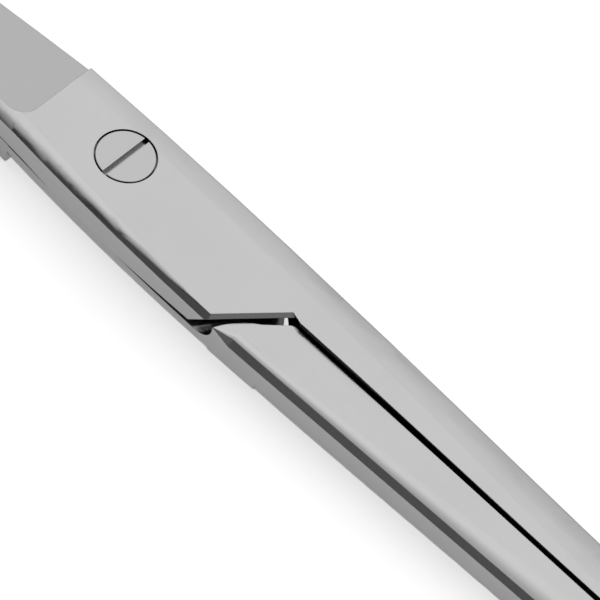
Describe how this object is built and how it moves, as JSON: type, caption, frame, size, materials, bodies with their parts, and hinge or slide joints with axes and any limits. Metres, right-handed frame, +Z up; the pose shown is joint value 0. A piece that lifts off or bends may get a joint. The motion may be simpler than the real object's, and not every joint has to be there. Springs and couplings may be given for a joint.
{
  "type": "operating scissors",
  "caption": "Straight surgical scissors: finger rings on slim shanks, and ground blades that cross at a flat joint with a flush slotted screw.",
  "frame": {"origin": "on the pivot axis, level with the underside of the joint", "axes": "+X from the pivot towards the tips, +Z up out of the screw head, +Y to the left of that"},
  "size_m": [0.145, 0.0566, 0.0055],
  "materials": {
    "satin_steel": "fine satin ground stainless steel",
    "screw_steel": "satin ground stainless steel, flush with the joint face"
  },
  "bodies": {
    "lower": {"lower_half": "satin_steel", "pivot_screw": "screw_steel"},
    "upper": {"upper_half": "satin_steel"}
  },
  "joints": [
    {"name": "blade_pivot", "type": "hinge", "parent": "lower", "child": "upper", "pos_m": [0, 0, 0.00275], "axis": [0, 0, 1], "range_deg": [0, 100]}
  ]
}
